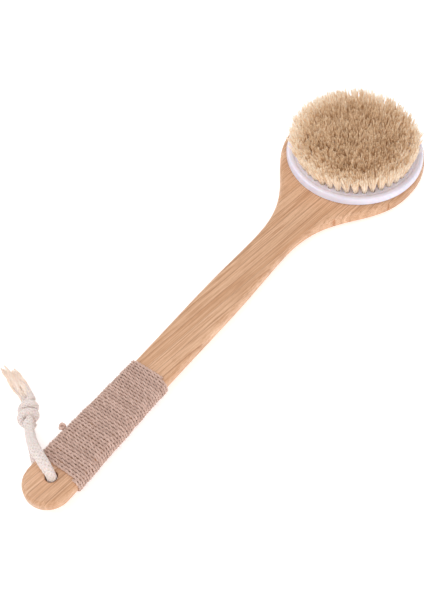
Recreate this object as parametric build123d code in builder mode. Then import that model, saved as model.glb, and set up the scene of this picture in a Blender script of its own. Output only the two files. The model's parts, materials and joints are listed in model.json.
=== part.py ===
"""A long-handled body brush: laminated bamboo paddle, round bristle plate, twine grip, hanging cord.

The brush is drawn level in its own frame: the head's centre is the origin, the back face is z = 0,
the bristles point up and the grip runs towards -X.  It is then laid in its resting pose, on the
head's far rim and on the strand of cord under the grip.  The cord is drawn where it lies.
"""
import os
from math import asin, cos, degrees, pi, radians, sin, tan

from build123d import *

# --- driving dimensions, mm -----------------------------------------------------------------
HEAD_RADIUS = 46.0
HANDLE_REACH = 313.7  # head centre to the tip of the grip
THICKNESS = 9.0
EDGE_ROUNDING = 3.0
GRIP_END_RADIUS = 14.6
# half widths of the handle at distances from the head centre, from the flare to the grip
HALF_WIDTHS = [(16, 44.4), (32, 37.2), (48, 25.8), (64, 16.6), (80, 12.2), (100, 11.3),
               (130, 12.3), (165, 12.5), (206, 12.2), (248, 12.8)]

STRIP_WIDTH = 5.66  # one bamboo strip of the glued panel
STRIP_SKEW = 6.5  # degrees between the strips and the handle
FIRST_JOINT = -43.5  # first glue line, measured across the strips from the head centre
JOINT_COUNT = 16
FEATHER = 3.0  # length broken off where a strip runs out to a feather edge
FEATHER_VOLUME = 12.0  # an end with less wood than this, in mm3, is such an edge

HOLE_AT = 296.0  # head centre to hanging hole
HOLE_RADIUS = 3.7
TOP_MOUTH = 0.5  # rounding of the hole's edge on the bristle side
BACK_MOUTH = 1.8  # and on the back, where the cord turns under the grip

PLATE_RADIUS = 45.0
RIM_RADIUS = 43.9
RIM_HEIGHT = 4.4  # above the bamboo
BED_RADIUS = 40.4
BED_HEIGHT = 3.9
RIM_ROUNDING = 1.5
SPIGOT_RADIUS = 40.0
SPIGOT_DEPTH = 3.0
GLUE = 0.3

RING_COUNT = 7
RING_PITCH = 5.33
TUFT_RADIUS = 1.6
TUFT_DEPTH = 5.0
TIP_RADIUS = 2.6
TIP_SPREAD = 1.06  # tips stand this much further out than their holes
TIP_HEIGHT = 14.1  # above the bed, at the middle
TIP_CROWN = 1.2  # the outer tips are this much lower
ANCHOR = (0.4, 3.0, 1.8)  # thickness, width and height of a tuft's wire anchor

TWINE = 1.8
WRAP_FROM, WRAP_TO = 210.5, 291.5
TWINE_KNOT_AT = (-269.0, 16.8, 7.6)
TWINE_KNOT_RADIUS = 2.3

CORD = 5.5
TAIL = 4.4
CORD_CLEARANCE = 0.3
KNOT_SIZE = (17.0, 10.6, 10.2)
KNOT_AT = (-137.4, 42.4)
KNOT_TURN = 42.0  # degrees from +X

# --- resting pose ---------------------------------------------------------------------------
heel = HEAD_RADIUS - EDGE_ROUNDING
lift = CORD + CORD_CLEARANCE  # the handle's back stands this high at the hole
tilt = asin(lift / (HOLE_AT + heel))
head_x = (HANDLE_REACH - HEAD_RADIUS) / 2 * cos(tilt) - THICKNESS / 2 * sin(tilt)
head_z = EDGE_ROUNDING * (1 - cos(tilt)) + heel * sin(tilt)
RESTING = Location((head_x, 0, head_z), (0, degrees(tilt), 0))

os.makedirs("parts", exist_ok=True)


def save(shape, label):
    """Write one finished piece under its node name."""
    shape.label = label
    export_step(shape, f"parts/{label}.step")
    print(f"{label:24s} {len(shape.solids()):4d} solids {shape.volume:12.2f} mm3")


def save_laid(shape, label):
    """Write a piece of the level brush in the resting pose."""
    save(shape.moved(RESTING), label)


# --- bamboo paddle ---------------------------------------------------------------------------
tip_centre = -(HANDLE_REACH - GRIP_END_RADIUS)


def rounded_slab(margin):
    """The paddle's shape with rounded rims, grown by a margin all round."""
    with BuildPart() as slab:
        with BuildSketch(Plane.XY.offset(-margin)):
            with BuildLine():
                CenterArc((0, 0), HEAD_RADIUS + margin, -90, 180)
                for side in (1, -1):
                    flare = [(-s, side * (width + margin)) for s, width in HALF_WIDTHS]
                    start = (0, side * (HEAD_RADIUS + margin))
                    end = (tip_centre, side * (GRIP_END_RADIUS + margin))
                    Spline([start, *flare, end], tangents=[(-1, 0), (-1, 0)], tangent_scalars=(1, 1))
                CenterArc((tip_centre, 0), GRIP_END_RADIUS + margin, 90, 180)
            make_face()
        extrude(amount=THICKNESS + 2 * margin)
        rims = slab.edges().group_by(Axis.Z)
        fillet(rims[0] + rims[-1], EDGE_ROUNDING + margin)
    return slab.part


with BuildPart() as paddle:
    add(rounded_slab(0))
    with Locations((-HOLE_AT, 0, THICKNESS)):
        Hole(HOLE_RADIUS)
    mouths = paddle.edges().filter_by(GeomType.CIRCLE).filter_by(
        lambda e: abs(e.radius - HOLE_RADIUS) < 1e-3 and abs(e.arc_center.X + HOLE_AT) < 1e-3
    ).sort_by(Axis.Z)
    fillet(mouths[-1], TOP_MOUTH)
    mouths = paddle.edges().filter_by(GeomType.CIRCLE).filter_by(
        lambda e: abs(e.radius - HOLE_RADIUS) < 1e-3 and abs(e.arc_center.Z) < 1e-3
    )
    fillet(mouths, BACK_MOUTH)
    with Locations((0, 0, THICKNESS)):
        Hole(SPIGOT_RADIUS, depth=SPIGOT_DEPTH + GLUE)


def along_strips(solid):
    """How far a solid reaches along the strips' direction, from and to."""
    box = solid.moved(Location((0, 0, 0), (0, 0, STRIP_SKEW))).bounding_box()
    return box.min.X, box.max.X


def without_feathers(solid):
    """Breaks off an end that runs out to a feather edge at the side of the handle."""
    for tip in along_strips(solid):
        with BuildPart() as blunt:
            add(solid)
            with Locations(Location((0, 0, THICKNESS / 2), (0, 0, -STRIP_SKEW))):
                with Locations((tip, 0, 0)):
                    Box(2 * FEATHER, 4 * HEAD_RADIUS, 2 * THICKNESS, mode=Mode.SUBTRACT)
        if solid.volume - blunt.part.volume < FEATHER_VOLUME:
            solid = blunt.part.solid()
    return solid


def bamboo_strips(low, high):
    """The pieces of the paddle between two glue lines."""
    length = 2 * (HANDLE_REACH + HEAD_RADIUS)
    with BuildPart() as strip:
        add(paddle.part)
        with Locations(Location((0, 0, THICKNESS / 2), (0, 0, -STRIP_SKEW))):
            with Locations((0, (low + high) / 2, 0)):
                Box(length, high - low, 2 * THICKNESS, mode=Mode.INTERSECT)
    return [without_feathers(solid) for solid in strip.part.solids().sort_by(Axis.X)]


joints = [FIRST_JOINT + STRIP_WIDTH * k for k in range(JOINT_COUNT)]
strip_edges = [-2 * HEAD_RADIUS] + joints + [2 * HEAD_RADIUS]
strip_number = 0
for low, high in zip(strip_edges, strip_edges[1:]):
    for solid in bamboo_strips(low, high):
        strip_number += 1
        save_laid(solid, f"bamboo_strip_{strip_number:02d}")

# --- bristle plate and its glue bed ------------------------------------------------------------
bed_z = THICKNESS + BED_HEIGHT
rim_z = THICKNESS + RIM_HEIGHT
spigot_z = THICKNESS - SPIGOT_DEPTH


def ring_tufts(ring):
    """Number of tufts in a ring, counted outwards from the centre tuft."""
    return 6 * ring if ring else 1


with BuildPart() as plate:
    with BuildSketch(Plane.XZ):
        with BuildLine():
            Polyline(
                (0, spigot_z),
                (SPIGOT_RADIUS, spigot_z),
                (SPIGOT_RADIUS, THICKNESS),
                (PLATE_RADIUS - 0.4, THICKNESS),
                (PLATE_RADIUS, THICKNESS + 0.4),
                (RIM_RADIUS, rim_z),
                (RIM_RADIUS - 2.2, rim_z),
                (BED_RADIUS, bed_z),
                (0, bed_z),
                close=True,
            )
        make_face()
    revolve(axis=Axis.Z)
    rim_edges = plate.edges().filter_by(GeomType.CIRCLE).filter_by(
        lambda e: e.arc_center.Z > rim_z - 0.01 and e.radius > RIM_RADIUS - 0.1
    )
    fillet(rim_edges, RIM_ROUNDING)
    for ring in range(RING_COUNT + 1):
        with Locations((0, 0, bed_z)):
            with PolarLocations(ring * RING_PITCH, ring_tufts(ring)):
                Hole(TUFT_RADIUS, depth=TUFT_DEPTH)
save_laid(plate.part, "bristle_plate")

with BuildPart() as glue_bed:
    with BuildSketch(Plane.XY.offset(spigot_z - GLUE)):
        Circle(SPIGOT_RADIUS)
    extrude(amount=GLUE)
save_laid(glue_bed.part, "plate_adhesive")


# --- tufts and their wire anchors ---------------------------------------------------------------
def tip_z(radius):
    """Height of the trimmed tips over a ring: the field is slightly crowned."""
    return bed_z + TIP_HEIGHT - TIP_CROWN * (radius / (RING_COUNT * RING_PITCH)) ** 2


def tuft(radius):
    """One tuft: a plug in its hole, then a bundle that widens and leans outwards."""
    floor_z = bed_z - TUFT_DEPTH
    with BuildPart() as bundle:
        with BuildSketch(Plane.XY.offset(floor_z)):
            with Locations((radius, 0)):
                Circle(TUFT_RADIUS)
        extrude(amount=TUFT_DEPTH)
        with BuildSketch(Plane.XY.offset(bed_z)):
            with Locations((radius, 0)):
                Circle(TUFT_RADIUS)
        with BuildSketch(Plane.XY.offset(tip_z(radius))):
            with Locations((radius * TIP_SPREAD, 0)):
                Circle(TIP_RADIUS)
        loft()
        with Locations((radius, 0, floor_z + ANCHOR[2] / 2)):
            Box(*ANCHOR, mode=Mode.SUBTRACT)
    return bundle.part


def anchor(radius):
    """The wire anchor that pins a tuft to the floor of its hole."""
    with BuildPart() as wire:
        with Locations((radius, 0, bed_z - TUFT_DEPTH + ANCHOR[2] / 2)):
            Box(*ANCHOR)
    return wire.part


def ring_of(piece, ring):
    """Copies of one piece round a ring, each a solid of its own; the first ring has the centre too."""
    with BuildPart() as copies:
        with PolarLocations(0, ring_tufts(ring)):
            add(piece(ring * RING_PITCH))
        if ring == 1:
            add(piece(0))
    return copies.part


for ring in range(1, RING_COUNT + 1):
    save_laid(ring_of(tuft, ring), f"tuft_ring_{ring}")
    save_laid(ring_of(anchor, ring), f"anchor_ring_{ring}")

# --- twine grip ----------------------------------------------------------------------------------
with BuildPart() as wrap:
    add(rounded_slab(TWINE))
    with Locations((-(WRAP_FROM + WRAP_TO) / 2, 0, THICKNESS / 2)):
        Box(WRAP_TO - WRAP_FROM, 4 * HEAD_RADIUS, 4 * THICKNESS, mode=Mode.INTERSECT)
    add(paddle.part, mode=Mode.SUBTRACT)
save_laid(wrap.part, "twine_wrap")

with BuildPart() as twine_knot:
    with Locations(TWINE_KNOT_AT):
        Sphere(TWINE_KNOT_RADIUS)
    add(wrap.part, mode=Mode.SUBTRACT)
save_laid(twine_knot.part, "twine_knot")

# --- hanging cord --------------------------------------------------------------------------------
HOLE = RESTING * Location((-HOLE_AT, 0, THICKNESS / 2))
hole_x, _, hole_z = tuple(HOLE.position)
on_table = CORD / 2

# from inside the hole up, over the grip's edge and down to the knot
FRONT_ROUTE = [
    (hole_x, -0.3, hole_z + 1.7),
    (hole_x, -0.3, 17.3),
    (-161.4, 3.0, 21.2),
    (-159.3, 9.0, 21.6),
    (-156.5, 15.9, 20.2),
    (-153.4, 22.4, 15.2),
    (-149.6, 28.0, 10.4),
    (-145.9, 32.8, 8.8),
    (-142.5, 36.9, 8.1),
]
# from inside the hole down, along the table under the grip and out to the knot
BACK_ROUTE = [
    (hole_x, -0.3, hole_z + 1.7),
    (hole_x, -0.3, 6.6),
    (-162.0, 3.5, on_table),
    (-161.6, 9.2, on_table),
    (-160.0, 14.6, on_table),
    (-156.8, 19.9, on_table),
    (-152.4, 25.6, on_table),
    (-148.0, 31.0, on_table),
    (-144.6, 35.0, on_table),
]
LONG_TAIL_ROUTE = [
    (-133.0, 46.4, 3.0),
    (-131.6, 50.9, 2.3),
    (-129.9, 56.3, TAIL / 2),
    (-127.9, 62.4, TAIL / 2),
    (-126.4, 68.9, TAIL / 2),
    (-125.3, 75.6, TAIL / 2),
]
SHORT_TAIL_ROUTE = [
    (-130.4, 45.2, 6.8),
    (-128.7, 49.8, 6.4),
    (-126.0, 54.9, 4.4),
    (-123.6, 60.4, 2.3),
    (-122.2, 66.0, TAIL / 2),
    (-121.4, 71.0, TAIL / 2),
]


def tube(route, diameter, label):
    """A limp cord's solid: straight runs joined by the largest tangent arcs that they allow."""
    points = [Vector(*p) for p in route]
    runs = [b - a for a, b in zip(points, points[1:])]
    turns = [a.get_angle(b) for a, b in zip(runs, runs[1:])]
    radii = [
        0.45 * min(a.length, b.length) / tan(radians(turn / 2))
        for a, b, turn in zip(runs, runs[1:], turns)
    ]
    with BuildPart() as cord:
        with BuildLine() as path:
            FilletPolyline(*points, radius=radii)
        with BuildSketch(Plane(origin=path.line @ 0, z_dir=path.line % 0)):
            Circle(diameter / 2)
        sweep()
    length = path.wires()[0].length
    section = pi * diameter**2 / 4
    print(f"{label}: length {length:.1f}, turns {[round(turn) for turn in turns]}")
    print(f"  radii {[round(r, 1) for r in radii]}, runs {[round(run.length, 1) for run in runs]}")
    print(f"  volume {cord.part.volume:.1f}, section x length {section * length:.1f}")
    return cord.part


save(tube(FRONT_ROUTE, CORD, "cord_front"), "cord_front")
save(tube(BACK_ROUTE, CORD, "cord_back"), "cord_back")
save(tube(LONG_TAIL_ROUTE, TAIL, "cord_tail_long"), "cord_tail_long")
save(tube(SHORT_TAIL_ROUTE, TAIL, "cord_tail_short"), "cord_tail_short")

with BuildPart() as cord_knot:
    with Locations(Location((*KNOT_AT, KNOT_SIZE[2] / 2), (0, 0, KNOT_TURN))):
        Box(*KNOT_SIZE)
    fillet(cord_knot.edges(), 0.4 * KNOT_SIZE[1])
save(cord_knot.part, "cord_knot")
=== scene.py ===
import json
from math import cos, pi, radians, sin, tau

import bpy
import numpy as np
from mathutils import Matrix, Vector, noise


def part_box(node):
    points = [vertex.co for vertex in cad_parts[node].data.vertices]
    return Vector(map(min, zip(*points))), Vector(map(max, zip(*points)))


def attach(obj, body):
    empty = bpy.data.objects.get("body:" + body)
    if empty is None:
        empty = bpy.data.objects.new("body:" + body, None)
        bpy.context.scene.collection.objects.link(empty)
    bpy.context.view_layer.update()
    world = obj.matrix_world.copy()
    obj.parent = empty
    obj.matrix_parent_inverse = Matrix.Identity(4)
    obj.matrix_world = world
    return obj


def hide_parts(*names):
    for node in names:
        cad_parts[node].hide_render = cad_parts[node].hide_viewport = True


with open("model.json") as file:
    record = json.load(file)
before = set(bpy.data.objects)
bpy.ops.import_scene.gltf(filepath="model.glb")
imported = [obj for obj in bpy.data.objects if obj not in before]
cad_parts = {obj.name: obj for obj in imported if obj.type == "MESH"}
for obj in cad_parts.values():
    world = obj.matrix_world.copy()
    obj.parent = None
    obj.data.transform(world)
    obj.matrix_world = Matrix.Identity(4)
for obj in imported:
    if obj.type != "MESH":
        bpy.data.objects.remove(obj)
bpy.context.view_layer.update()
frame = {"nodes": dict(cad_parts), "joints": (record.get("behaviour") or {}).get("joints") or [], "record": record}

MM = 0.001
rng = np.random.default_rng(31)

# --- the brush's own frame: head centre on the back face, grip towards -x, bristles up ----------
mounts = {mount["name"]: mount for mount in frame["record"]["mounts"]}
swing = frame["joints"][0]
up = Vector(swing["axis"]).normalized()
along = Vector((up.z, 0, -up.x))
across = Vector((0, 1, 0))
head = Vector(mounts["head_back"]["pos_m"])


def laid(x, y, z):
    """A place on the level brush, in mm, as a point of the row frame, in metres."""
    return head + MM * (x * along + y * across + z * up)


# sizes in mm, as in the CAD model
THICKNESS = 9.0
EDGE_ROUNDING = 3.0
BED_HEIGHT = 3.9
BED_Z = THICKNESS + BED_HEIGHT
RING_COUNT = 7
RING_PITCH = 5.33
TUFT_RADIUS = 1.6
TIP_RADIUS = 2.6
TIP_SPREAD = 1.06
TIP_HEIGHT = 14.1
TIP_CROWN = 1.2
TWINE = 1.8
WRAP_FROM, WRAP_TO = 210.5, 291.5
CORD = 5.5
TAIL = 4.4
STRIP_WIDTH = 5.66
STRIP_SKEW = radians(6.5)
FIRST_JOINT = -43.5
LANES_PER_MM = 1.55  # bundles of fibres across the strips
NODE_SPACING = 187.0  # between the nodes of one bamboo cane


# --- camera ---------------------------------------------------------------------------------
CAMERA_AT = (-315.8, -256.9, 589.2)
CAMERA_HEADING = radians(40.86)
CAMERA_DOWN = radians(55.53)
CAMERA_ROLL = radians(-3.58)
SENSOR = 24.0
FOCAL = 46.45


def add_camera():
    """The camera, set by its place, heading, downward tilt and roll."""
    look = Vector((
        cos(CAMERA_DOWN) * cos(CAMERA_HEADING),
        cos(CAMERA_DOWN) * sin(CAMERA_HEADING),
        -sin(CAMERA_DOWN),
    ))
    level_right = Vector((sin(CAMERA_HEADING), -cos(CAMERA_HEADING), 0))
    level_up = level_right.cross(look)
    right = cos(CAMERA_ROLL) * level_right + sin(CAMERA_ROLL) * level_up
    camera_up = right.cross(look)
    data = bpy.data.cameras.new("camera")
    data.sensor_fit = "VERTICAL"
    data.sensor_height = SENSOR
    data.lens = FOCAL
    data.clip_start = 0.01
    data.clip_end = 50
    camera = bpy.data.objects.new("camera", data)
    turn = Matrix((right, camera_up, -look)).transposed().to_4x4()
    camera.matrix_world = Matrix.Translation(MM * Vector(CAMERA_AT)) @ turn
    bpy.context.scene.collection.objects.link(camera)
    bpy.context.scene.camera = camera


add_camera()


# --- mesh tools -------------------------------------------------------------------------------
def add_mesh(name, verts, faces, material, smooth=True, tints=None):
    """A mesh object in the row frame, in metres, with one tint value for each vertex."""
    mesh = bpy.data.meshes.new(name)
    mesh.from_pydata(np.asarray(verts).reshape(-1, 3).tolist(), [], faces)
    mesh.polygons.foreach_set("use_smooth", [smooth] * len(mesh.polygons))
    if tints is not None:
        layer = mesh.attributes.new("tint", "FLOAT", "POINT")
        layer.data.foreach_set("value", np.asarray(tints, dtype=float).ravel())
    mesh.update()
    piece = bpy.data.objects.new(name, mesh)
    bpy.context.scene.collection.objects.link(piece)
    mesh.materials.append(material)
    return piece


def tube_faces(rings, sides, start=0):
    """Faces of a closed tube whose vertices are rings of sides points each."""
    faces = []
    for r in range(rings - 1):
        a = start + r * sides
        b = a + sides
        faces += [(a + i, a + (i + 1) % sides, b + (i + 1) % sides, b + i) for i in range(sides)]
    faces.append(tuple(reversed(range(start, start + sides))))
    last = start + (rings - 1) * sides
    faces.append(tuple(range(last, last + sides)))
    return faces


def hairs(name, paths, radii, material, tints, sides=3):
    """Many fine strands as one mesh: paths is (strands, points, 3) in metres, radii matches."""
    count, points = paths.shape[:2]
    heading = paths[:, -1] - paths[:, 0]
    heading /= np.linalg.norm(heading, axis=1, keepdims=True)
    reference = np.where(np.abs(heading[:, 2:3]) > 0.7, [[1.0, 0, 0]], [[0, 0, 1.0]])
    u = np.cross(heading, reference)
    u /= np.linalg.norm(u, axis=1, keepdims=True)
    v = np.cross(heading, u)
    turn = tau * np.arange(sides) / sides
    ring = np.cos(turn)[None, :, None] * u[:, None] + np.sin(turn)[None, :, None] * v[:, None]
    verts = paths[:, :, None] + radii[:, :, None, None] * ring[:, None]
    one = tube_faces(points, sides)
    step = points * sides
    faces = [tuple(i + k * step for i in face) for k in range(count) for face in one]
    return add_mesh(name, verts, faces, material, tints=np.repeat(tints, step))


def evenly(points, step):
    """Points a step apart along a polyline, with both ends."""
    points = np.asarray(points, dtype=float)
    reach = np.concatenate([[0], np.cumsum(np.linalg.norm(np.diff(points, axis=0), axis=1))])
    count = max(2, int(round(reach[-1] / step)) + 1)
    places = np.linspace(0, reach[-1], count)
    return np.stack([np.interp(places, reach, points[:, k]) for k in range(3)], axis=1), places


def carried_frames(points, first_side=(0, 0, 1)):
    """Two side directions at each point of a line, carried along it without twist."""
    tangents = np.gradient(points, axis=0)
    tangents /= np.linalg.norm(tangents, axis=1, keepdims=True)
    side = np.cross(tangents[0], np.cross(first_side, tangents[0]))
    if np.linalg.norm(side) < 1e-3:
        side = np.cross(tangents[0], (1.0, 0, 0))
    sides = []
    for tangent in tangents:
        side = side - tangent * np.dot(side, tangent)
        side = side / np.linalg.norm(side)
        sides.append(side)
    sides = np.array(sides)
    return sides, np.cross(tangents, sides)


def tube(points, radii, sides):
    """Vertices and faces of one tube along a line."""
    u, v = carried_frames(points)
    turn = tau * np.arange(sides) / sides
    ring = np.cos(turn)[None, :, None] * u[:, None] + np.sin(turn)[None, :, None] * v[:, None]
    verts = points[:, None] + np.asarray(radii)[:, None, None] * ring
    return verts.reshape(-1, 3), tube_faces(len(points), sides)


def join_tubes(tubes):
    """Several tubes' vertices and faces as one list of each."""
    verts, faces, start = [], [], 0
    for tube_verts, tube_face_list in tubes:
        verts.append(tube_verts)
        faces += [tuple(i + start for i in face) for face in tube_face_list]
        start += len(tube_verts)
    return np.concatenate(verts), faces


# --- materials --------------------------------------------------------------------------------
class Finish:
    """A node material with one Principled shader, built up call by call."""

    def __init__(self, name, roughness, **settings):
        self.material = bpy.data.materials.new(name)
        self.material.use_nodes = True
        self.tree = self.material.node_tree
        self.tree.nodes.clear()
        self.shader = self.node("ShaderNodeBsdfPrincipled")
        output = self.node("ShaderNodeOutputMaterial")
        self.tree.links.new(self.shader.outputs["BSDF"], output.inputs["Surface"])
        self.shader.inputs["Roughness"].default_value = roughness
        for key, value in settings.items():
            self.shader.inputs[key.replace("_", " ")].default_value = value
        self.place = self.node("ShaderNodeTexCoord").outputs["Object"]

    def node(self, kind, **settings):
        made = self.tree.nodes.new(kind)
        for key, value in settings.items():
            setattr(made, key, value)
        return made

    def feed(self, socket, value):
        if isinstance(value, bpy.types.NodeSocket):
            self.tree.links.new(value, socket)
        else:
            socket.default_value = value

    def calc(self, operation, *values, clamp=False):
        made = self.node("ShaderNodeMath", operation=operation, use_clamp=clamp)
        for socket, value in zip(made.inputs, values):
            self.feed(socket, value)
        return made.outputs[0]

    def mix(self, factor, first, second, blend="MIX"):
        made = self.node("ShaderNodeMix", data_type="RGBA", blend_type=blend)
        self.feed(made.inputs["Factor"], factor)
        self.feed(made.inputs["A"], (*first, 1) if isinstance(first, tuple) else first)
        self.feed(made.inputs["B"], (*second, 1) if isinstance(second, tuple) else second)
        return next(o for o in made.outputs if o.type == "RGBA")

    def split(self, vector):
        made = self.node("ShaderNodeSeparateXYZ")
        self.feed(made.inputs[0], vector)
        return made.outputs

    def join(self, x, y, z):
        made = self.node("ShaderNodeCombineXYZ")
        for socket, value in zip(made.inputs, (x, y, z)):
            self.feed(socket, value)
        return made.outputs[0]

    def noise(self, vector, scale, detail=3.0, roughness=0.55):
        made = self.node("ShaderNodeTexNoise")
        self.feed(made.inputs["Vector"], vector)
        made.inputs["Scale"].default_value = scale
        made.inputs["Detail"].default_value = detail
        made.inputs["Roughness"].default_value = roughness
        return made.outputs["Fac"]

    def random(self, value):
        made = self.node("ShaderNodeTexWhiteNoise", noise_dimensions="1D")
        self.feed(made.inputs["W"], value)
        return made.outputs["Value"]

    def between(self, value, low, high, to_low=0.0, to_high=1.0):
        made = self.node("ShaderNodeMapRange", clamp=True)
        for socket, given in zip(made.inputs, (value, low, high, to_low, to_high)):
            self.feed(socket, given)
        return made.outputs[0]

    def attribute(self, name):
        return self.node("ShaderNodeAttribute", attribute_name=name).outputs["Fac"]

    def bump(self, height, distance, strength=1.0):
        made = self.node("ShaderNodeBump")
        made.inputs["Strength"].default_value = strength
        made.inputs["Distance"].default_value = distance
        self.feed(made.inputs["Height"], height)
        self.feed(self.shader.inputs["Normal"], made.outputs[0])

    def set(self, **values):
        for key, value in values.items():
            if isinstance(value, tuple):
                value = (*value, 1)
            self.feed(self.shader.inputs[key.replace("_", " ")], value)
        return self.material


def bamboo_material():
    """Skewed strips, each with its own tint, fine fibres, dark glue lines and node bands."""
    f = Finish("bamboo", 0.42, Coat_Weight=0.15, Coat_Roughness=0.25)
    x, y, z = f.split(f.place)
    local_x = f.calc("MULTIPLY", f.calc("SUBTRACT", x, head.x), 1 / MM)
    local_y = f.calc("MULTIPLY", y, 1 / MM)
    along_strip = f.calc("SUBTRACT", f.calc("MULTIPLY", local_x, cos(STRIP_SKEW)),
                         f.calc("MULTIPLY", local_y, sin(STRIP_SKEW)))
    over_strips = f.calc("ADD", f.calc("MULTIPLY", local_x, sin(STRIP_SKEW)),
                         f.calc("MULTIPLY", local_y, cos(STRIP_SKEW)))
    strip = f.calc("DIVIDE", f.calc("SUBTRACT", over_strips, FIRST_JOINT), STRIP_WIDTH)
    number = f.calc("FLOOR", strip)
    tint = f.random(number)
    # each strip's fibres are a different stretch of the same pattern
    shifted = f.calc("ADD", along_strip, f.calc("MULTIPLY", tint, 400.0))
    height = f.calc("MULTIPLY", z, 1 / MM)
    fibres = f.noise(f.join(f.calc("MULTIPLY", shifted, 0.012), over_strips, height), 1.9, 5.0, 0.6)
    fine = f.noise(f.join(f.calc("MULTIPLY", shifted, 0.05), f.calc("MULTIPLY", over_strips, 3.0),
                          f.calc("MULTIPLY", height, 3.0)), 2.2, 3.0)
    broad = f.noise(f.join(f.calc("MULTIPLY", shifted, 0.02), over_strips, height), 0.35, 2.0)
    colour = f.mix(f.between(tint, 0.0, 1.0), (0.62, 0.345, 0.19), (0.78, 0.49, 0.31))
    colour = f.mix(f.between(broad, 0.35, 0.7, 0.0, 0.45), colour, (0.82, 0.54, 0.36))
    colour = f.mix(f.between(fibres, 0.47, 0.64, 0.0, 0.8), colour, (0.45, 0.215, 0.095))
    colour = f.mix(f.between(fine, 0.42, 0.68, 0.0, 0.4), colour, (0.47, 0.245, 0.125))
    grain = f.noise(f.join(f.calc("MULTIPLY", shifted, 0.008), over_strips, height), 1.15, 2.0)
    line = f.calc("ABSOLUTE", f.calc("SUBTRACT", f.calc("FRACT", f.calc("MULTIPLY", grain, 9.0)), 0.5))
    colour = f.mix(f.between(line, 0.0, 0.08, 0.65, 0.0), colour, (0.33, 0.15, 0.065))
    # bundles of darker and paler fibres run along the strips, each for a stretch of their length
    lane = f.calc("FLOOR", f.calc("ADD", f.calc("MULTIPLY", over_strips, LANES_PER_MM),
                                  f.calc("MULTIPLY", broad, 3.0)))
    lane_tint = f.random(f.calc("ADD", lane, 0.37))
    stretch = f.noise(f.join(f.calc("MULTIPLY", shifted, 0.02), f.calc("MULTIPLY", lane, 5.3), 0.0),
                      1.0, 1.0)
    shown = f.between(stretch, 0.38, 0.60)
    dark = f.calc("MULTIPLY", f.between(lane_tint, 0.55, 0.95, 0.0, 0.55), shown)
    colour = f.mix(dark, colour, (0.40, 0.18, 0.075))
    pale = f.calc("MULTIPLY", f.between(lane_tint, 0.0, 0.4, 0.40, 0.0), shown)
    colour = f.mix(pale, colour, (0.88, 0.61, 0.41))
    # a node band crosses each strip now and then, at a place of its own
    period = f.calc("ADD", f.calc("DIVIDE", shifted, NODE_SPACING),
                    f.random(f.calc("ADD", number, 7.3)))
    nearness = f.calc("ABSOLUTE", f.calc("SUBTRACT", f.calc("FRACT", period), 0.5))
    flecks = f.noise(f.join(f.calc("MULTIPLY", shifted, 0.22), over_strips, height), 3.4, 2.0)
    band = f.between(nearness, 0.006, 0.016, 1.0, 0.0)
    fleck = f.calc("MULTIPLY", band, f.between(flecks, 0.50, 0.60))
    colour = f.mix(f.calc("MULTIPLY", fleck, 0.3), colour, (0.42, 0.21, 0.10))
    edge = f.calc("ABSOLUTE", f.calc("SUBTRACT", f.calc("FRACT", strip), 0.5))
    glue = f.between(edge, 0.464, 0.490)
    # a joint that runs out on the edge is cut so thin that its glue hardly shows
    facing = f.calc("ABSOLUTE", f.split(f.node("ShaderNodeNewGeometry").outputs["Normal"])[2])
    glue = f.calc("MULTIPLY", glue, f.between(facing, 0.35, 0.95, 0.08, 1.0))
    colour = f.mix(f.calc("MULTIPLY", glue, 0.75), colour, (0.27, 0.12, 0.055))
    relief = f.calc("SUBTRACT", f.calc("MULTIPLY", fibres, 0.5), f.calc("MULTIPLY", glue, 0.8))
    f.bump(f.calc("SUBTRACT", relief, f.calc("MULTIPLY", fine, 0.25)), 0.00008, 0.5)
    return f.set(Base_Color=colour, Roughness=f.between(fibres, 0.3, 0.7, 0.36, 0.52))


def plate_material():
    """Lilac-white glossy plastic, with painted shade greying the bed between the tufts, and faint scuffs."""
    f = Finish("plate_plastic", 0.2, Coat_Weight=0.35, Coat_Roughness=0.08, Subsurface_Weight=0.12,
               Subsurface_Scale=0.004)
    x, y, _ = f.split(f.place)
    radius = f.calc("SQRT", f.calc("ADD", f.calc("POWER", f.calc("SUBTRACT", x, head.x), 2.0),
                                   f.calc("POWER", y, 2.0)))
    cloud = f.noise(f.place, 90.0)
    scuffs = f.noise(f.place, 1500.0, 2.0)
    colour = f.mix(f.between(cloud, 0.35, 0.7), (0.74, 0.72, 0.83), (0.80, 0.775, 0.88))
    # painted shade: the bed greys inwards of 38.5 mm from the head centre, where the tufts shade it
    colour = f.mix(f.between(radius, 35.0 * MM, 38.5 * MM, 0.15, 0.0), colour, (0.62, 0.58, 0.66))
    f.bump(scuffs, 0.00002, 0.25)
    return f.set(Base_Color=colour, Roughness=f.between(scuffs, 0.3, 0.8, 0.16, 0.3))


def bristle_material():
    """Natural bristle: cream to brown by strand, darker at the root and paler at the tip, emitting a little
    painted light.
    """
    f = Finish("bristle", 0.5, Sheen_Weight=0.15)
    tint = f.attribute("tint")
    height = f.calc("DIVIDE", f.calc("SUBTRACT", f.split(f.place)[2], BED_Z * MM), TIP_HEIGHT * MM)
    speckle = f.noise(f.place, 2600.0, 1.0)
    # the tint is each strand's own tone plus painted light towards the rim of the field, which makes those strands
    # cream
    colour = f.mix(f.between(tint, 0.0, 0.55), (0.46, 0.225, 0.08), (0.83, 0.585, 0.35))
    colour = f.mix(f.between(tint, 0.5, 1.0), colour, (1.0, 0.88, 0.74))
    colour = f.mix(f.between(height, 0.0, 0.2, 0.25, 0.0), colour, (0.66, 0.46, 0.32))
    colour = f.mix(f.between(height, 0.85, 1.05, 0.0, 0.25), colour, (0.95, 0.80, 0.58))
    colour = f.mix(f.between(speckle, 0.45, 0.7, 0.0, 0.12), colour, (0.48, 0.29, 0.16))
    # painted light: the strands emit their own colour, more where the tint is paler, in place of light that passes
    # from strand to strand
    f.set(Emission_Color=colour, Emission_Strength=f.between(tint, 0.2, 1.0, 0.07, 0.17))
    return f.set(Base_Color=colour, Roughness=f.between(speckle, 0.3, 0.7, 0.4, 0.6))


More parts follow.
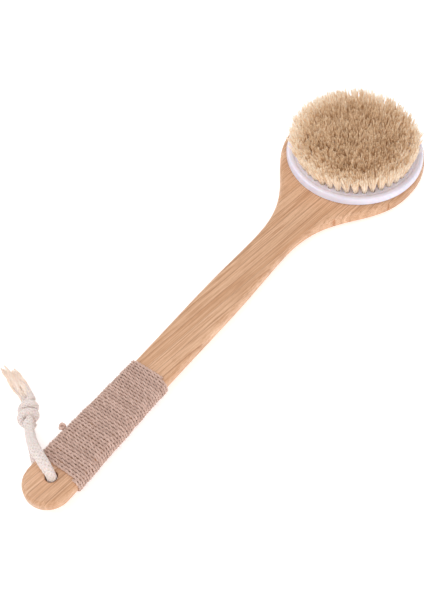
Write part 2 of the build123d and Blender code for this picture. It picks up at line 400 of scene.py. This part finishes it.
def twine_material():
    """Pinkish tan jute: every turn a little different, with fine fibres along it."""
    f = Finish("twine", 0.85, Sheen_Weight=0.25, Sheen_Roughness=0.5)
    x, y, z = f.split(f.place)
    blotch = f.noise(f.join(f.calc("MULTIPLY", x, 3.0), y, z), 260.0)
    fibres = f.noise(f.join(f.calc("MULTIPLY", x, 3.2), f.calc("MULTIPLY", y, 0.8), z), 2400.0, 2.0)
    tint = f.attribute("tint")
    colour = f.mix(tint, (0.47, 0.30, 0.24), (0.74, 0.53, 0.45))
    colour = f.mix(f.between(blotch, 0.35, 0.75, 0.0, 0.5), colour, (0.78, 0.57, 0.48))
    colour = f.mix(f.between(fibres, 0.45, 0.75, 0.0, 0.5), colour, (0.36, 0.22, 0.16))
    f.bump(fibres, 0.00018, 0.9)
    return f.set(Base_Color=colour)


def cotton_material(name, pale, shade, painted_light_strength):
    """Soft spun cotton: fine fibres, a faint fuzz and a slight mottle, emitting a little painted light."""
    f = Finish(name, 0.9, Sheen_Weight=0.35, Sheen_Roughness=0.6, Subsurface_Weight=0.1,
               Subsurface_Scale=0.001)
    fibres = f.noise(f.place, 3200.0, 2.0)
    mottle = f.noise(f.place, 420.0)
    colour = f.mix(f.between(mottle, 0.35, 0.7, 0.0, 0.45), pale, shade)
    colour = f.mix(f.between(f.attribute("tint"), 0.0, 1.0, 0.6, 0.0), colour, shade)
    colour = f.mix(f.between(fibres, 0.5, 0.8, 0.0, 0.3), colour, tuple(0.8 * c for c in shade))
    f.bump(fibres, 0.00014, 0.8)
    # painted light: the cotton emits its own colour, most strongly on the loose tail fibres
    return f.set(Base_Color=colour, Emission_Color=colour, Emission_Strength=painted_light_strength)


def wire_material():
    """Drawn wire with fine draw marks."""
    f = Finish("staple_wire", 0.35, Metallic=1.0)
    marks = f.noise(f.place, 4000.0)
    f.bump(marks, 0.00002, 0.4)
    return f.set(Base_Color=f.mix(marks, (0.55, 0.54, 0.52), (0.68, 0.67, 0.65)))


def adhesive_material():
    """Amber glue with small bubbles."""
    f = Finish("adhesive", 0.3)
    bubbles = f.noise(f.place, 1800.0)
    f.bump(bubbles, 0.00005, 0.5)
    return f.set(Base_Color=f.mix(bubbles, (0.66, 0.52, 0.30), (0.78, 0.66, 0.44)))


bamboo = bamboo_material()
plate_plastic = plate_material()
bristle = bristle_material()
twine = twine_material()
# the last number is how much painted light each cotton emits
cotton = cotton_material("cotton", (0.85, 0.755, 0.72), (0.66, 0.545, 0.50), 0.03)
loose_cotton = cotton_material("loose_cotton", (0.99, 0.87, 0.78), (0.84, 0.65, 0.52), 0.12)
wire = wire_material()
adhesive = adhesive_material()


# --- hanging cord -------------------------------------------------------------------------------
hole_x, _, hole_z = (c / MM for c in swing["pos_m"])
ON_TABLE = CORD / 2
FRONT_ROUTE = [
    (hole_x, -0.3, hole_z + 1.7),
    (hole_x, -0.3, 17.3),
    (-161.4, 3.0, 21.2),
    (-159.3, 9.0, 21.6),
    (-156.5, 15.9, 20.2),
    (-153.4, 22.4, 15.2),
    (-149.6, 28.0, 10.4),
    (-145.9, 32.8, 8.8),
    (-142.5, 36.9, 8.1),
]
BACK_ROUTE = [
    (hole_x, -0.3, hole_z + 1.7),
    (hole_x, -0.3, 6.6),
    (-162.0, 3.5, ON_TABLE),
    (-161.6, 9.2, ON_TABLE),
    (-160.0, 14.6, ON_TABLE),
    (-156.8, 19.9, ON_TABLE),
    (-152.4, 25.6, ON_TABLE),
    (-148.0, 31.0, ON_TABLE),
    (-144.6, 35.0, ON_TABLE),
]
LONG_TAIL_ROUTE = [
    (-133.0, 46.4, 3.0),
    (-131.6, 50.9, 2.3),
    (-129.6, 57.5, TAIL / 2),
    (-127.4, 64.2, TAIL / 2),
    (-125.2, 70.6, TAIL / 2),
    (-123.2, 77.2, TAIL / 2),
]
SHORT_TAIL_ROUTE = [
    (-130.4, 45.2, 6.8),
    (-128.3, 49.8, 6.3),
    (-126.0, 55.3, 4.4),
    (-124.2, 60.6, 2.5),
    (-122.6, 65.8, TAIL / 2),
    (-121.2, 71.6, TAIL / 2),
]
KNOT_AT = (-137.4, 42.4, 5.1)
KNOT_TURN = radians(42.0)
BRAID_HALF = 6  # yarns each way round the braid
BRAID_PITCH = 15.0 * MM
KNOT_BRAID_PITCH = 13.0 * MM
YARNS_IN_TAIL = 13
STEP = 0.4 * MM  # between the points of every drawn cord
FUZZ_FIBRES = 260


def smooth_line(route):
    """The points of the NURBS spline that has the route, in mm, as its control points."""
    data = bpy.data.curves.new("route", "CURVE")
    data.dimensions = "3D"
    data.resolution_u = 24
    spline = data.splines.new("NURBS")
    spline.points.add(len(route) - 1)
    for point, place in zip(spline.points, route):
        point.co = (*(MM * c for c in place), 1)
    spline.order_u = 3
    spline.use_endpoint_u = True
    holder = bpy.data.objects.new("route", data)
    bpy.context.scene.collection.objects.link(holder)
    bpy.context.view_layer.update()
    mesh = bpy.data.meshes.new_from_object(holder)
    points = [tuple(vertex.co) for vertex in mesh.vertices]
    bpy.data.objects.remove(holder)
    bpy.data.curves.remove(data)
    bpy.data.meshes.remove(mesh)
    return np.array(points)


def braid(points, radii, pitch=BRAID_PITCH):
    """Vertices and faces of a round braid of even yarns round a core, along close-set points."""
    places = np.concatenate([[0], np.cumsum(np.linalg.norm(np.diff(points, axis=0), axis=1))])
    u, v = carried_frames(points)
    yarn = 0.24 * radii
    middle = 0.74 * radii
    sway = 0.05 * radii
    tubes = [tube(points, 0.74 * radii, 12)]
    turn = tau * places / pitch
    weave = np.cos(BRAID_HALF * turn)
    for way in (1, -1):
        for k in range(BRAID_HALF):
            angle = way * turn + tau * k / BRAID_HALF
            out = (middle + way * sway * weave)[:, None]
            line = points + out * (np.cos(angle)[:, None] * u + np.sin(angle)[:, None] * v)
            tubes.append(tube(line, yarn, 6))
    return join_tubes(tubes)


def fuzz(points, radii, count, reach, fibre=0.035):
    """Fine fibres that stand off a line: paths and radii for hairs, in metres."""
    u, v = carried_frames(points)
    spots = rng.integers(1, len(points) - 1, count)
    angle = rng.uniform(0, tau, count)
    out = np.cos(angle)[:, None] * u[spots] + np.sin(angle)[:, None] * v[spots]
    drift = rng.normal(0, 1, (count, 3))
    ends = radii[spots][:, None]
    length = rng.uniform(0.4, 1.0, count)[:, None] * reach
    start = points[spots] + 0.75 * ends * out
    middle = points[spots] + ends * out + 0.35 * length * (out + 0.7 * drift)
    tip = middle + 0.4 * length * (0.3 * out + 1.0 * drift)
    paths = np.stack([start, middle, tip], axis=1)
    paths[:, :, 2] = np.maximum(paths[:, :, 2], fibre * MM)
    widths = np.tile(np.array([fibre, fibre, 0.5 * fibre]) * MM, (count, 1))
    return paths, widths


def add_strand(name, node, route, half, squeezed):
    """One strand of the loop: a braid with a halo of fuzz."""
    line = smooth_line(route)
    points, places = evenly(line, STEP)
    # the braid is squeezed in the hole and swells once it is free of it
    freed = np.clip((places / MM - squeezed) / 6.0, 0, 1)
    before_knot = np.clip((1 - places / places[-1]) / 0.4, 0, 1)
    radii = half * MM * (1 + 0.13 * (freed * before_knot))
    verts, faces = braid(points, radii)
    piece = add_mesh(name, verts, faces, cotton, tints=np.ones(len(verts)))
    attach(piece, "cord_loop")
    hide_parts(node)
    paths, widths = fuzz(points[8:], radii[8:], FUZZ_FIBRES, 1.3 * MM)
    halo = hairs(name + "_fuzz", paths, widths, cotton, np.ones(len(paths)))
    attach(halo, "cord_loop")
    return piece, points, places[-1]


def knot_point(along_knot, sideways, height):
    """A place in the knot, in mm from its middle, as a point of the row frame."""
    x = KNOT_AT[0] + along_knot * cos(KNOT_TURN) - sideways * sin(KNOT_TURN)
    y = KNOT_AT[1] + along_knot * sin(KNOT_TURN) + sideways * cos(KNOT_TURN)
    return x, y, KNOT_AT[2] + height


def knot_band(first, last, turns, start, wide, high, lean):
    """A route in mm that winds round the knot's middle from one place along it to another."""
    steps = 7 + int(8 * turns)
    route = []
    for k in range(steps):
        part = k / (steps - 1)
        angle = start + tau * turns * part
        shift = lean * sin(angle)
        middle = first + (last - first) * part
        route.append(knot_point(middle + shift, wide * cos(angle), high * sin(angle)))
    return route


def add_knot():
    """An overhand knot: two bights laid side by side round the strands that pass through."""
    tubes = []
    bands = [
        (knot_band(-5.4, -1.2, 1.2, radians(-140), 4.3, 3.1, 1.9), 2.45),
        (knot_band(-0.9, 4.5, 1.2, radians(-150), 4.1, 2.95, 1.9), 2.4),
        ([knot_point(-8.0, 1.6, -1.6), knot_point(-4.0, 1.2, -0.8), knot_point(0, -0.8, 0.4),
          knot_point(4.5, -1.4, 0.2), knot_point(8.2, 0.2, -1.6)], 2.1),
        ([knot_point(-8.0, -1.4, 2.2), knot_point(-4.0, -1.2, 1.2), knot_point(0, 1.2, 0.2),
          knot_point(4.5, 1.4, 0.8), knot_point(8.2, -1.4, 1.6)], 2.1),
    ]
    for route, half in bands:
        points, _ = evenly(smooth_line(route), STEP)
        points[:, 2] = np.maximum(points[:, 2], 1.04 * half * MM)
        tubes.append(braid(points, np.full(len(points), half * MM), KNOT_BRAID_PITCH))
    verts, faces = join_tubes(tubes)
    piece = add_mesh("knot_of_cord", verts, faces, cotton, tints=np.ones(len(verts)))
    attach(piece, "cord_loop")
    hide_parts("cord_knot")
    return piece


def add_tail(name, node, route, yarns_until, fibres):
    """A cut end: braid that opens into loose fibres, which lie down on the table."""
    points, places = evenly(smooth_line(route), STEP)
    part = places / places[-1]
    half = TAIL / 2 * MM
    stop = int(yarns_until * len(points))
    held = points[: stop + 1]
    verts, faces = braid(held, half * (1 - 0.25 * part[: stop + 1]), KNOT_BRAID_PITCH)
    piece = add_mesh(name, verts, faces, cotton, tints=np.full(len(verts), 0.6))
    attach(piece, "cord_loop")
    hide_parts(node)
    u, v = carried_frames(points)
    steps = 9
    # the fibres keep to the yarns that they came from, and each yarn ends at its own length
    yarn = rng.integers(0, YARNS_IN_TAIL, fibres)
    yarn_end = 1 - rng.exponential(0.10, YARNS_IN_TAIL)
    yarn_place = np.arange(YARNS_IN_TAIL) + rng.uniform(-0.3, 0.3, YARNS_IN_TAIL)
    yarn_angle = tau * yarn_place / YARNS_IN_TAIL
    yarn_depth = half * rng.uniform(0.55, 1.0, YARNS_IN_TAIL)
    yarn_wave = rng.uniform(0, tau, (YARNS_IN_TAIL, 2))
    begin = rng.uniform(0.12, yarns_until, fibres)
    own_end = yarn_end[yarn] - rng.exponential(0.03, fibres)
    finish = np.minimum(own_end, begin + rng.uniform(0.35, 0.9, fibres))
    angle = yarn_angle[yarn] + rng.normal(0, 0.16, fibres)
    depth = yarn_depth[yarn] + half * rng.normal(0, 0.09, fibres)
    wave = yarn_wave[yarn] + rng.normal(0, 0.25, (fibres, 2))
    paths = np.zeros((fibres, steps, 3))
    for k in range(steps):
        at = begin + (finish - begin) * k / (steps - 1)
        spot = at * (len(points) - 1)
        low = np.minimum(spot.astype(int), len(points) - 2)
        blend = (spot - low)[:, None]
        centre = points[low] * (1 - blend) + points[low + 1] * blend
        spread = 1 + 0.12 * sin(pi * k / (steps - 1)) - 0.4 * np.maximum(0, at - 0.8) / 0.2
        swirl = angle + 1.5 * (at - begin)
        wander = 0.42 * MM * np.sin(wave + 11.0 * at[:, None] * np.array([1.0, 1.3]))
        across_u = (depth * spread * np.cos(swirl) * 0.95 + wander[:, 0])[:, None] * u[low]
        across_v = (depth * spread * np.sin(swirl) + wander[:, 1])[:, None] * v[low]
        paths[:, k] = centre + across_u + across_v
    paths[:, :, 2] = np.clip(paths[:, :, 2], 0.12 * MM, None)
    widths = np.tile(np.linspace(0.13, 0.07, steps) * MM, (fibres, 1))
    shade = np.clip(rng.uniform(0, 1, YARNS_IN_TAIL)[yarn] + rng.normal(0, 0.2, fibres), 0, 1)
    loose = hairs(name + "_fibres", paths, widths, loose_cotton, shade, sides=4)
    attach(loose, "cord_loop")
    return piece


knot = add_knot()
long_tail = add_tail("long_tail", "cord_tail_long", LONG_TAIL_ROUTE, 0.8, 620)
short_tail = add_tail("short_tail", "cord_tail_short", SHORT_TAIL_ROUTE, 0.82, 560)
# strand, CAD node, route, fullness, length that the hole squeezes in mm, pieces it carries
STRANDS = [
    ("front_strand", "cord_front", FRONT_ROUTE, 1.05, 6.0, [knot, long_tail]),
    ("back_strand", "cord_back", BACK_ROUTE, 0.96, 60.0, [short_tail]),
]
for strand_name, strand_node, strand_route, fullness, squeezed, carried in STRANDS:
    strand, strand_points, strand_length = add_strand(
        strand_name, strand_node, strand_route, fullness * CORD / 2, squeezed)


# --- bamboo, plate, anchors: CAD shapes with their own finishes ----------------------------------
def finish_node(node, material):
    """Gives a CAD node its material."""
    solid = frame["nodes"][node]
    if not solid.material_slots:
        solid.data.materials.append(material)
    for held in solid.material_slots:
        held.material = material


for node in frame["nodes"]:
    if node.startswith("bamboo_strip"):
        finish_node(node, bamboo)
    elif node.startswith("anchor_ring"):
        finish_node(node, wire)
finish_node("bristle_plate", plate_plastic)
finish_node("plate_adhesive", adhesive)


# --- bristles ---------------------------------------------------------------------------------
BRISTLES_PER_TUFT = 210
LOCKS = 36  # locks in a tuft
BRISTLE = 0.15  # radius at the root, mm
LEAN = (-0.5, 1.3)  # the whole field leans this far at the tips, mm


def ring_tufts(ring):
    """Number of tufts in a ring, counted outwards from the centre tuft."""
    return 6 * ring if ring else 1


def tuft_centres(ring):
    """Angles and radius of a ring's tufts; the first ring brings the centre tuft along."""
    count = ring_tufts(ring)
    centres = [(tau * k / count, ring * RING_PITCH) for k in range(count)]
    return centres + [(0.0, 0.0)] if ring == 1 else centres


def add_ring(ring):
    """The bristles of one ring of tufts: tight at the root, parting into small locks at the tip."""
    outermost = RING_COUNT * RING_PITCH
    paths, tints = [], []
    for angle, radius in tuft_centres(ring):
        count = BRISTLES_PER_TUFT
        rim = radius / outermost
        own_tint = rng.normal(0, 0.05)
        own_lean = rng.normal(0, 0.3, 2)
        root = np.array([radius * cos(angle), radius * sin(angle)])
        tip = root * TIP_SPREAD + np.array(LEAN) + own_lean
        # each lock keeps its side of the tuft, so that the bundle opens without crossing
        spin = rng.uniform(0, tau, LOCKS)
        reach = np.sqrt(rng.uniform(0, 1, LOCKS))
        side = np.stack([np.cos(spin), np.sin(spin)], axis=1) * reach[:, None]
        lock = rng.integers(0, LOCKS, count)
        lock_tint = rng.uniform(0, 1, LOCKS)
        lock_top = rng.normal(0, 0.65, LOCKS) - 0.25 * reach**3
        lock_stray = rng.normal(0, 0.75, (LOCKS, 2))
        within = rng.normal(0, 1, (count, 2))
        at_root = root + side[lock] * (TUFT_RADIUS - 2 * BRISTLE) + 0.12 * within
        at_tip = tip + side[lock] * (TIP_RADIUS + 0.7) + lock_stray[lock] + 0.2 * within
        height = TIP_HEIGHT - TIP_CROWN * rim**2 + 0.4
        top = BED_Z + height + lock_top[lock] + rng.normal(0, 0.2, count) - rng.exponential(0.7, count)
        top = np.minimum(top, BED_Z + height + 0.9)
        foot = np.full(count, BED_Z - 0.6)
        bow = rng.normal(0, 0.14, (count, 2))
        rows = []
        for part in (0.0, 0.4, 0.78, 1.0):
            opening = part**1.35
            flat = at_root + (at_tip - at_root) * opening + bow * sin(pi * part)
            level = foot + (top - foot) * part
            rows.append(np.concatenate([flat, level[:, None]], axis=1))
        paths.append(np.stack(rows, axis=1))
        # painted light: strands towards the rim of the field are made paler, as if lit from outside, and so they
        # also emit more painted light
        painted_fringe_light = np.clip((np.linalg.norm(at_tip, axis=1) / outermost - 0.62) / 0.46, 0, 1) ** 2.2
        own = 0.65 * lock_tint[lock] + 0.35 * rng.uniform(0, 1, count)
        tints.append(np.clip(0.84 * own + own_tint + 0.5 * painted_fringe_light, 0, 1))
    paths = np.concatenate(paths)
    local = paths.reshape(-1, 3)
    turned = np.array(head) + MM * (
        local[:, :1] * np.array(along) + local[:, 1:2] * np.array(across) + local[:, 2:] * np.array(up)
    )
    paths = turned.reshape(paths.shape)
    widths = np.tile(BRISTLE * MM * np.array([1.0, 1.0, 0.9, 0.4]), (len(paths), 1))
    piece = hairs(f"bristles_ring_{ring}", paths, widths, bristle, np.concatenate(tints))
    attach(piece, "brush")
    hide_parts(f"tuft_ring_{ring}")


for ring in range(1, RING_COUNT + 1):
    add_ring(ring)


# --- twine grip -----------------------------------------------------------------------------------
TURNS = 45
POINTS_PER_TURN = 84
PLY_TWIST = 5.2  # mm of twine for one full twist of its two plies
TWINE_FIBRES = 1500
NECK_AT, NECK_HALF_WIDTH = 206, 12.2  # where the handle starts to widen towards its end
END_WIDENING, END_REACH = 2.3, 93  # by this much on each side, over this length


def half_width(s):
    """Half the handle's width under the twine, at a distance from the head centre."""
    return NECK_HALF_WIDTH + END_WIDENING * max(0.0, (s - NECK_AT) / END_REACH) ** 1.6


def around(s, part, clearance):
    """A place on the handle's rounded section, grown by the clearance, and its outward side."""
    wide = half_width(s) - EDGE_ROUNDING
    high = THICKNESS / 2 - EDGE_ROUNDING
    bend = EDGE_ROUNDING + clearance
    lengths = [2 * wide, bend * pi / 2, 2 * high, bend * pi / 2] * 2
    walk = (part % 1.0) * sum(lengths)
    corners = [(wide, high), (wide, -high), (-wide, -high), (-wide, high)]
    heading = 0
    for k, length in enumerate(lengths):
        if walk <= length:
            break
        walk -= length
        heading += k % 2
    corner = corners[(k // 2) % 4]
    facing = pi / 2 - heading * pi / 2
    if k % 2:
        angle = facing - walk / bend
        out = (cos(angle), sin(angle))
        return corner[0] + bend * out[0], corner[1] + bend * out[1], out
    out = (cos(facing), sin(facing))
    back = length - walk
    return (
        corner[0] + bend * out[0] - back * out[1],
        corner[1] + bend * out[1] + back * out[0],
        out,
    )


def add_wrap():
    """One length of two-ply twine wound round the grip, every turn a little uneven."""
    pitch = (WRAP_TO - WRAP_FROM - TWINE) / TURNS
    centre, outward = [], []
    for k in range(TURNS * POINTS_PER_TURN + 1):
        turn = k / POINTS_PER_TURN
        drift = 0.34 * noise.noise(Vector((turn * 1.7, 3.1 * cos(tau * turn), 3.1 * sin(tau * turn))))
        rise = 0.10 * noise.noise(Vector((turn * 5.0, 8.0, 1.5 * sin(tau * turn))))
        swelling = noise.noise(Vector((turn * 0.21, 1.6 * cos(tau * turn), 4.4)))
        rise += 0.55 * max(0.0, swelling)
        s = WRAP_FROM + TWINE / 2 + pitch * turn + drift
        y, z, out = around(s, turn, TWINE / 2 + rise - 0.05)
        centre.append(laid(-s, y, z + THICKNESS / 2))
        outward.append(out[0] * across + out[1] * up)
    centre = np.array(centre)
    outward = np.array(outward)
    tangents = np.gradient(centre, axis=0)
    tangents /= np.linalg.norm(tangents, axis=1, keepdims=True)
    sideways = np.cross(tangents, outward)
    places = np.concatenate([[0], np.cumsum(np.linalg.norm(np.diff(centre, axis=0), axis=1))])
    twist = tau * places / (PLY_TWIST * MM)
    tubes, tints = [], []
    swell = 1 + 0.07 * np.sin(places / (17 * MM)) + 0.05 * np.sin(places / (5.3 * MM))
    for ply in (0, 1):
        angle = (twist + pi * ply)[:, None]
        line = centre + 0.40 * MM * (np.cos(angle) * outward + np.sin(angle) * sideways)
        made = tube(line, 0.53 * MM * swell, 7)
        tubes.append(made)
        shade = 0.5 + 0.3 * np.sin(places / (61 * MM) + 2.0 * ply) + rng.normal(0, 0.08, len(places))
        tints.append(np.repeat(np.clip(shade, 0, 1), 7))
    verts, faces = join_tubes(tubes)
    piece = add_mesh("wound_twine", verts, faces, twine, tints=np.concatenate(tints))
    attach(piece, "brush")
    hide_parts("twine_wrap")
    count = TWINE_FIBRES
    spots = rng.integers(1, len(centre) - 1, count)
    lean = rng.normal(0, 1, (count, 3))
    start = centre[spots] + 0.6 * MM * outward[spots]
    length = rng.uniform(0.3, 1.0, count)[:, None] * MM
    middle = start + 0.45 * length * outward[spots] + 0.5 * length * lean
    tip = middle + 0.2 * length * outward[spots] + 0.8 * length * lean
    paths = np.stack([start, middle, tip], axis=1)
    paths[:, :, 2] = np.maximum(paths[:, :, 2], 0.05 * MM)  # the lowest ones rest on the table
    widths = np.tile(np.array([0.05, 0.045, 0.02]) * MM, (count, 1))
    fibres = hairs("twine_fibres", paths, widths, twine, rng.uniform(0.5, 1, count))
    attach(fibres, "brush")


def add_twine_knot():
    """The small knot that ties the twine off on the far side of the grip: two crossed bights."""
    low, high = (Vector(c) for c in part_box("twine_knot"))
    middle = (low + high) / 2
    size = (high.x - low.x) / 2
    tubes = []
    for lean, inward in ((0.0, 0.2 * MM), (1.1, 0.5 * MM)):
        points = []
        for k in range(60):
            angle = tau * 1.25 * k / 59 + lean
            points.append(middle + Vector((
                0.62 * size * cos(angle),
                0.55 * size * sin(angle) - inward,
                0.4 * size * sin(2 * angle + lean),
            )))
        points, _ = evenly(np.array(points), 0.25 * MM)
        tubes.append(tube(points, np.full(len(points), 0.85 * MM), 8))
    verts, faces = join_tubes(tubes)
    piece = add_mesh("twine_tie", verts, faces, twine, tints=np.full(len(verts), 0.9))
    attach(piece, "brush")
    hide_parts("twine_knot")


add_wrap()
add_twine_knot()


# --- floor and light ------------------------------------------------------------------------------
def add_floor():
    """A plain pale table top."""
    f = Finish("floor", 0.9)
    grain = f.noise(f.place, 6.0)
    material = f.set(
        Base_Color=f.mix(grain, (0.93, 0.93, 0.93), (0.95, 0.95, 0.95)),
        Emission_Color=(1.0, 0.99, 0.985), Emission_Strength=0.42,
    )
    half = 3.0
    corners = [(-half, -half, 0), (half, -half, 0), (half, half, 0), (-half, half, 0)]
    floor = add_mesh("floor", corners, [(0, 1, 2, 3)], material, smooth=False)


def add_light(name, place, target, size, power, colour=(1, 1, 1)):
    """A square soft box."""
    data = bpy.data.lights.new(name, "AREA")
    data.shape = "SQUARE"
    data.size = size
    data.energy = power
    data.color = colour
    light = bpy.data.objects.new(name, data)
    light.location = place
    light.rotation_euler = (Vector(target) - Vector(place)).to_track_quat("-Z", "Y").to_euler()
    bpy.context.scene.collection.objects.link(light)


def add_world():
    """An even white surround."""
    world = bpy.data.worlds.new("surround")
    world.use_nodes = True
    surround = world.node_tree.nodes["Background"]
    surround.inputs["Color"].default_value = (1.0, 0.985, 0.98, 1)
    surround.inputs["Strength"].default_value = 0.66
    bpy.context.scene.world = world


add_floor()
add_world()
add_light("key", (-0.35, 0.75, 1.1), (0, 0, 0), 1.1, 7.5)
add_light("fill", (-0.4, -1.0, 0.6), (0, 0, 0), 1.2, 6.2, (1.0, 0.95, 0.93))
bpy.context.scene.view_settings.view_transform = "Standard"
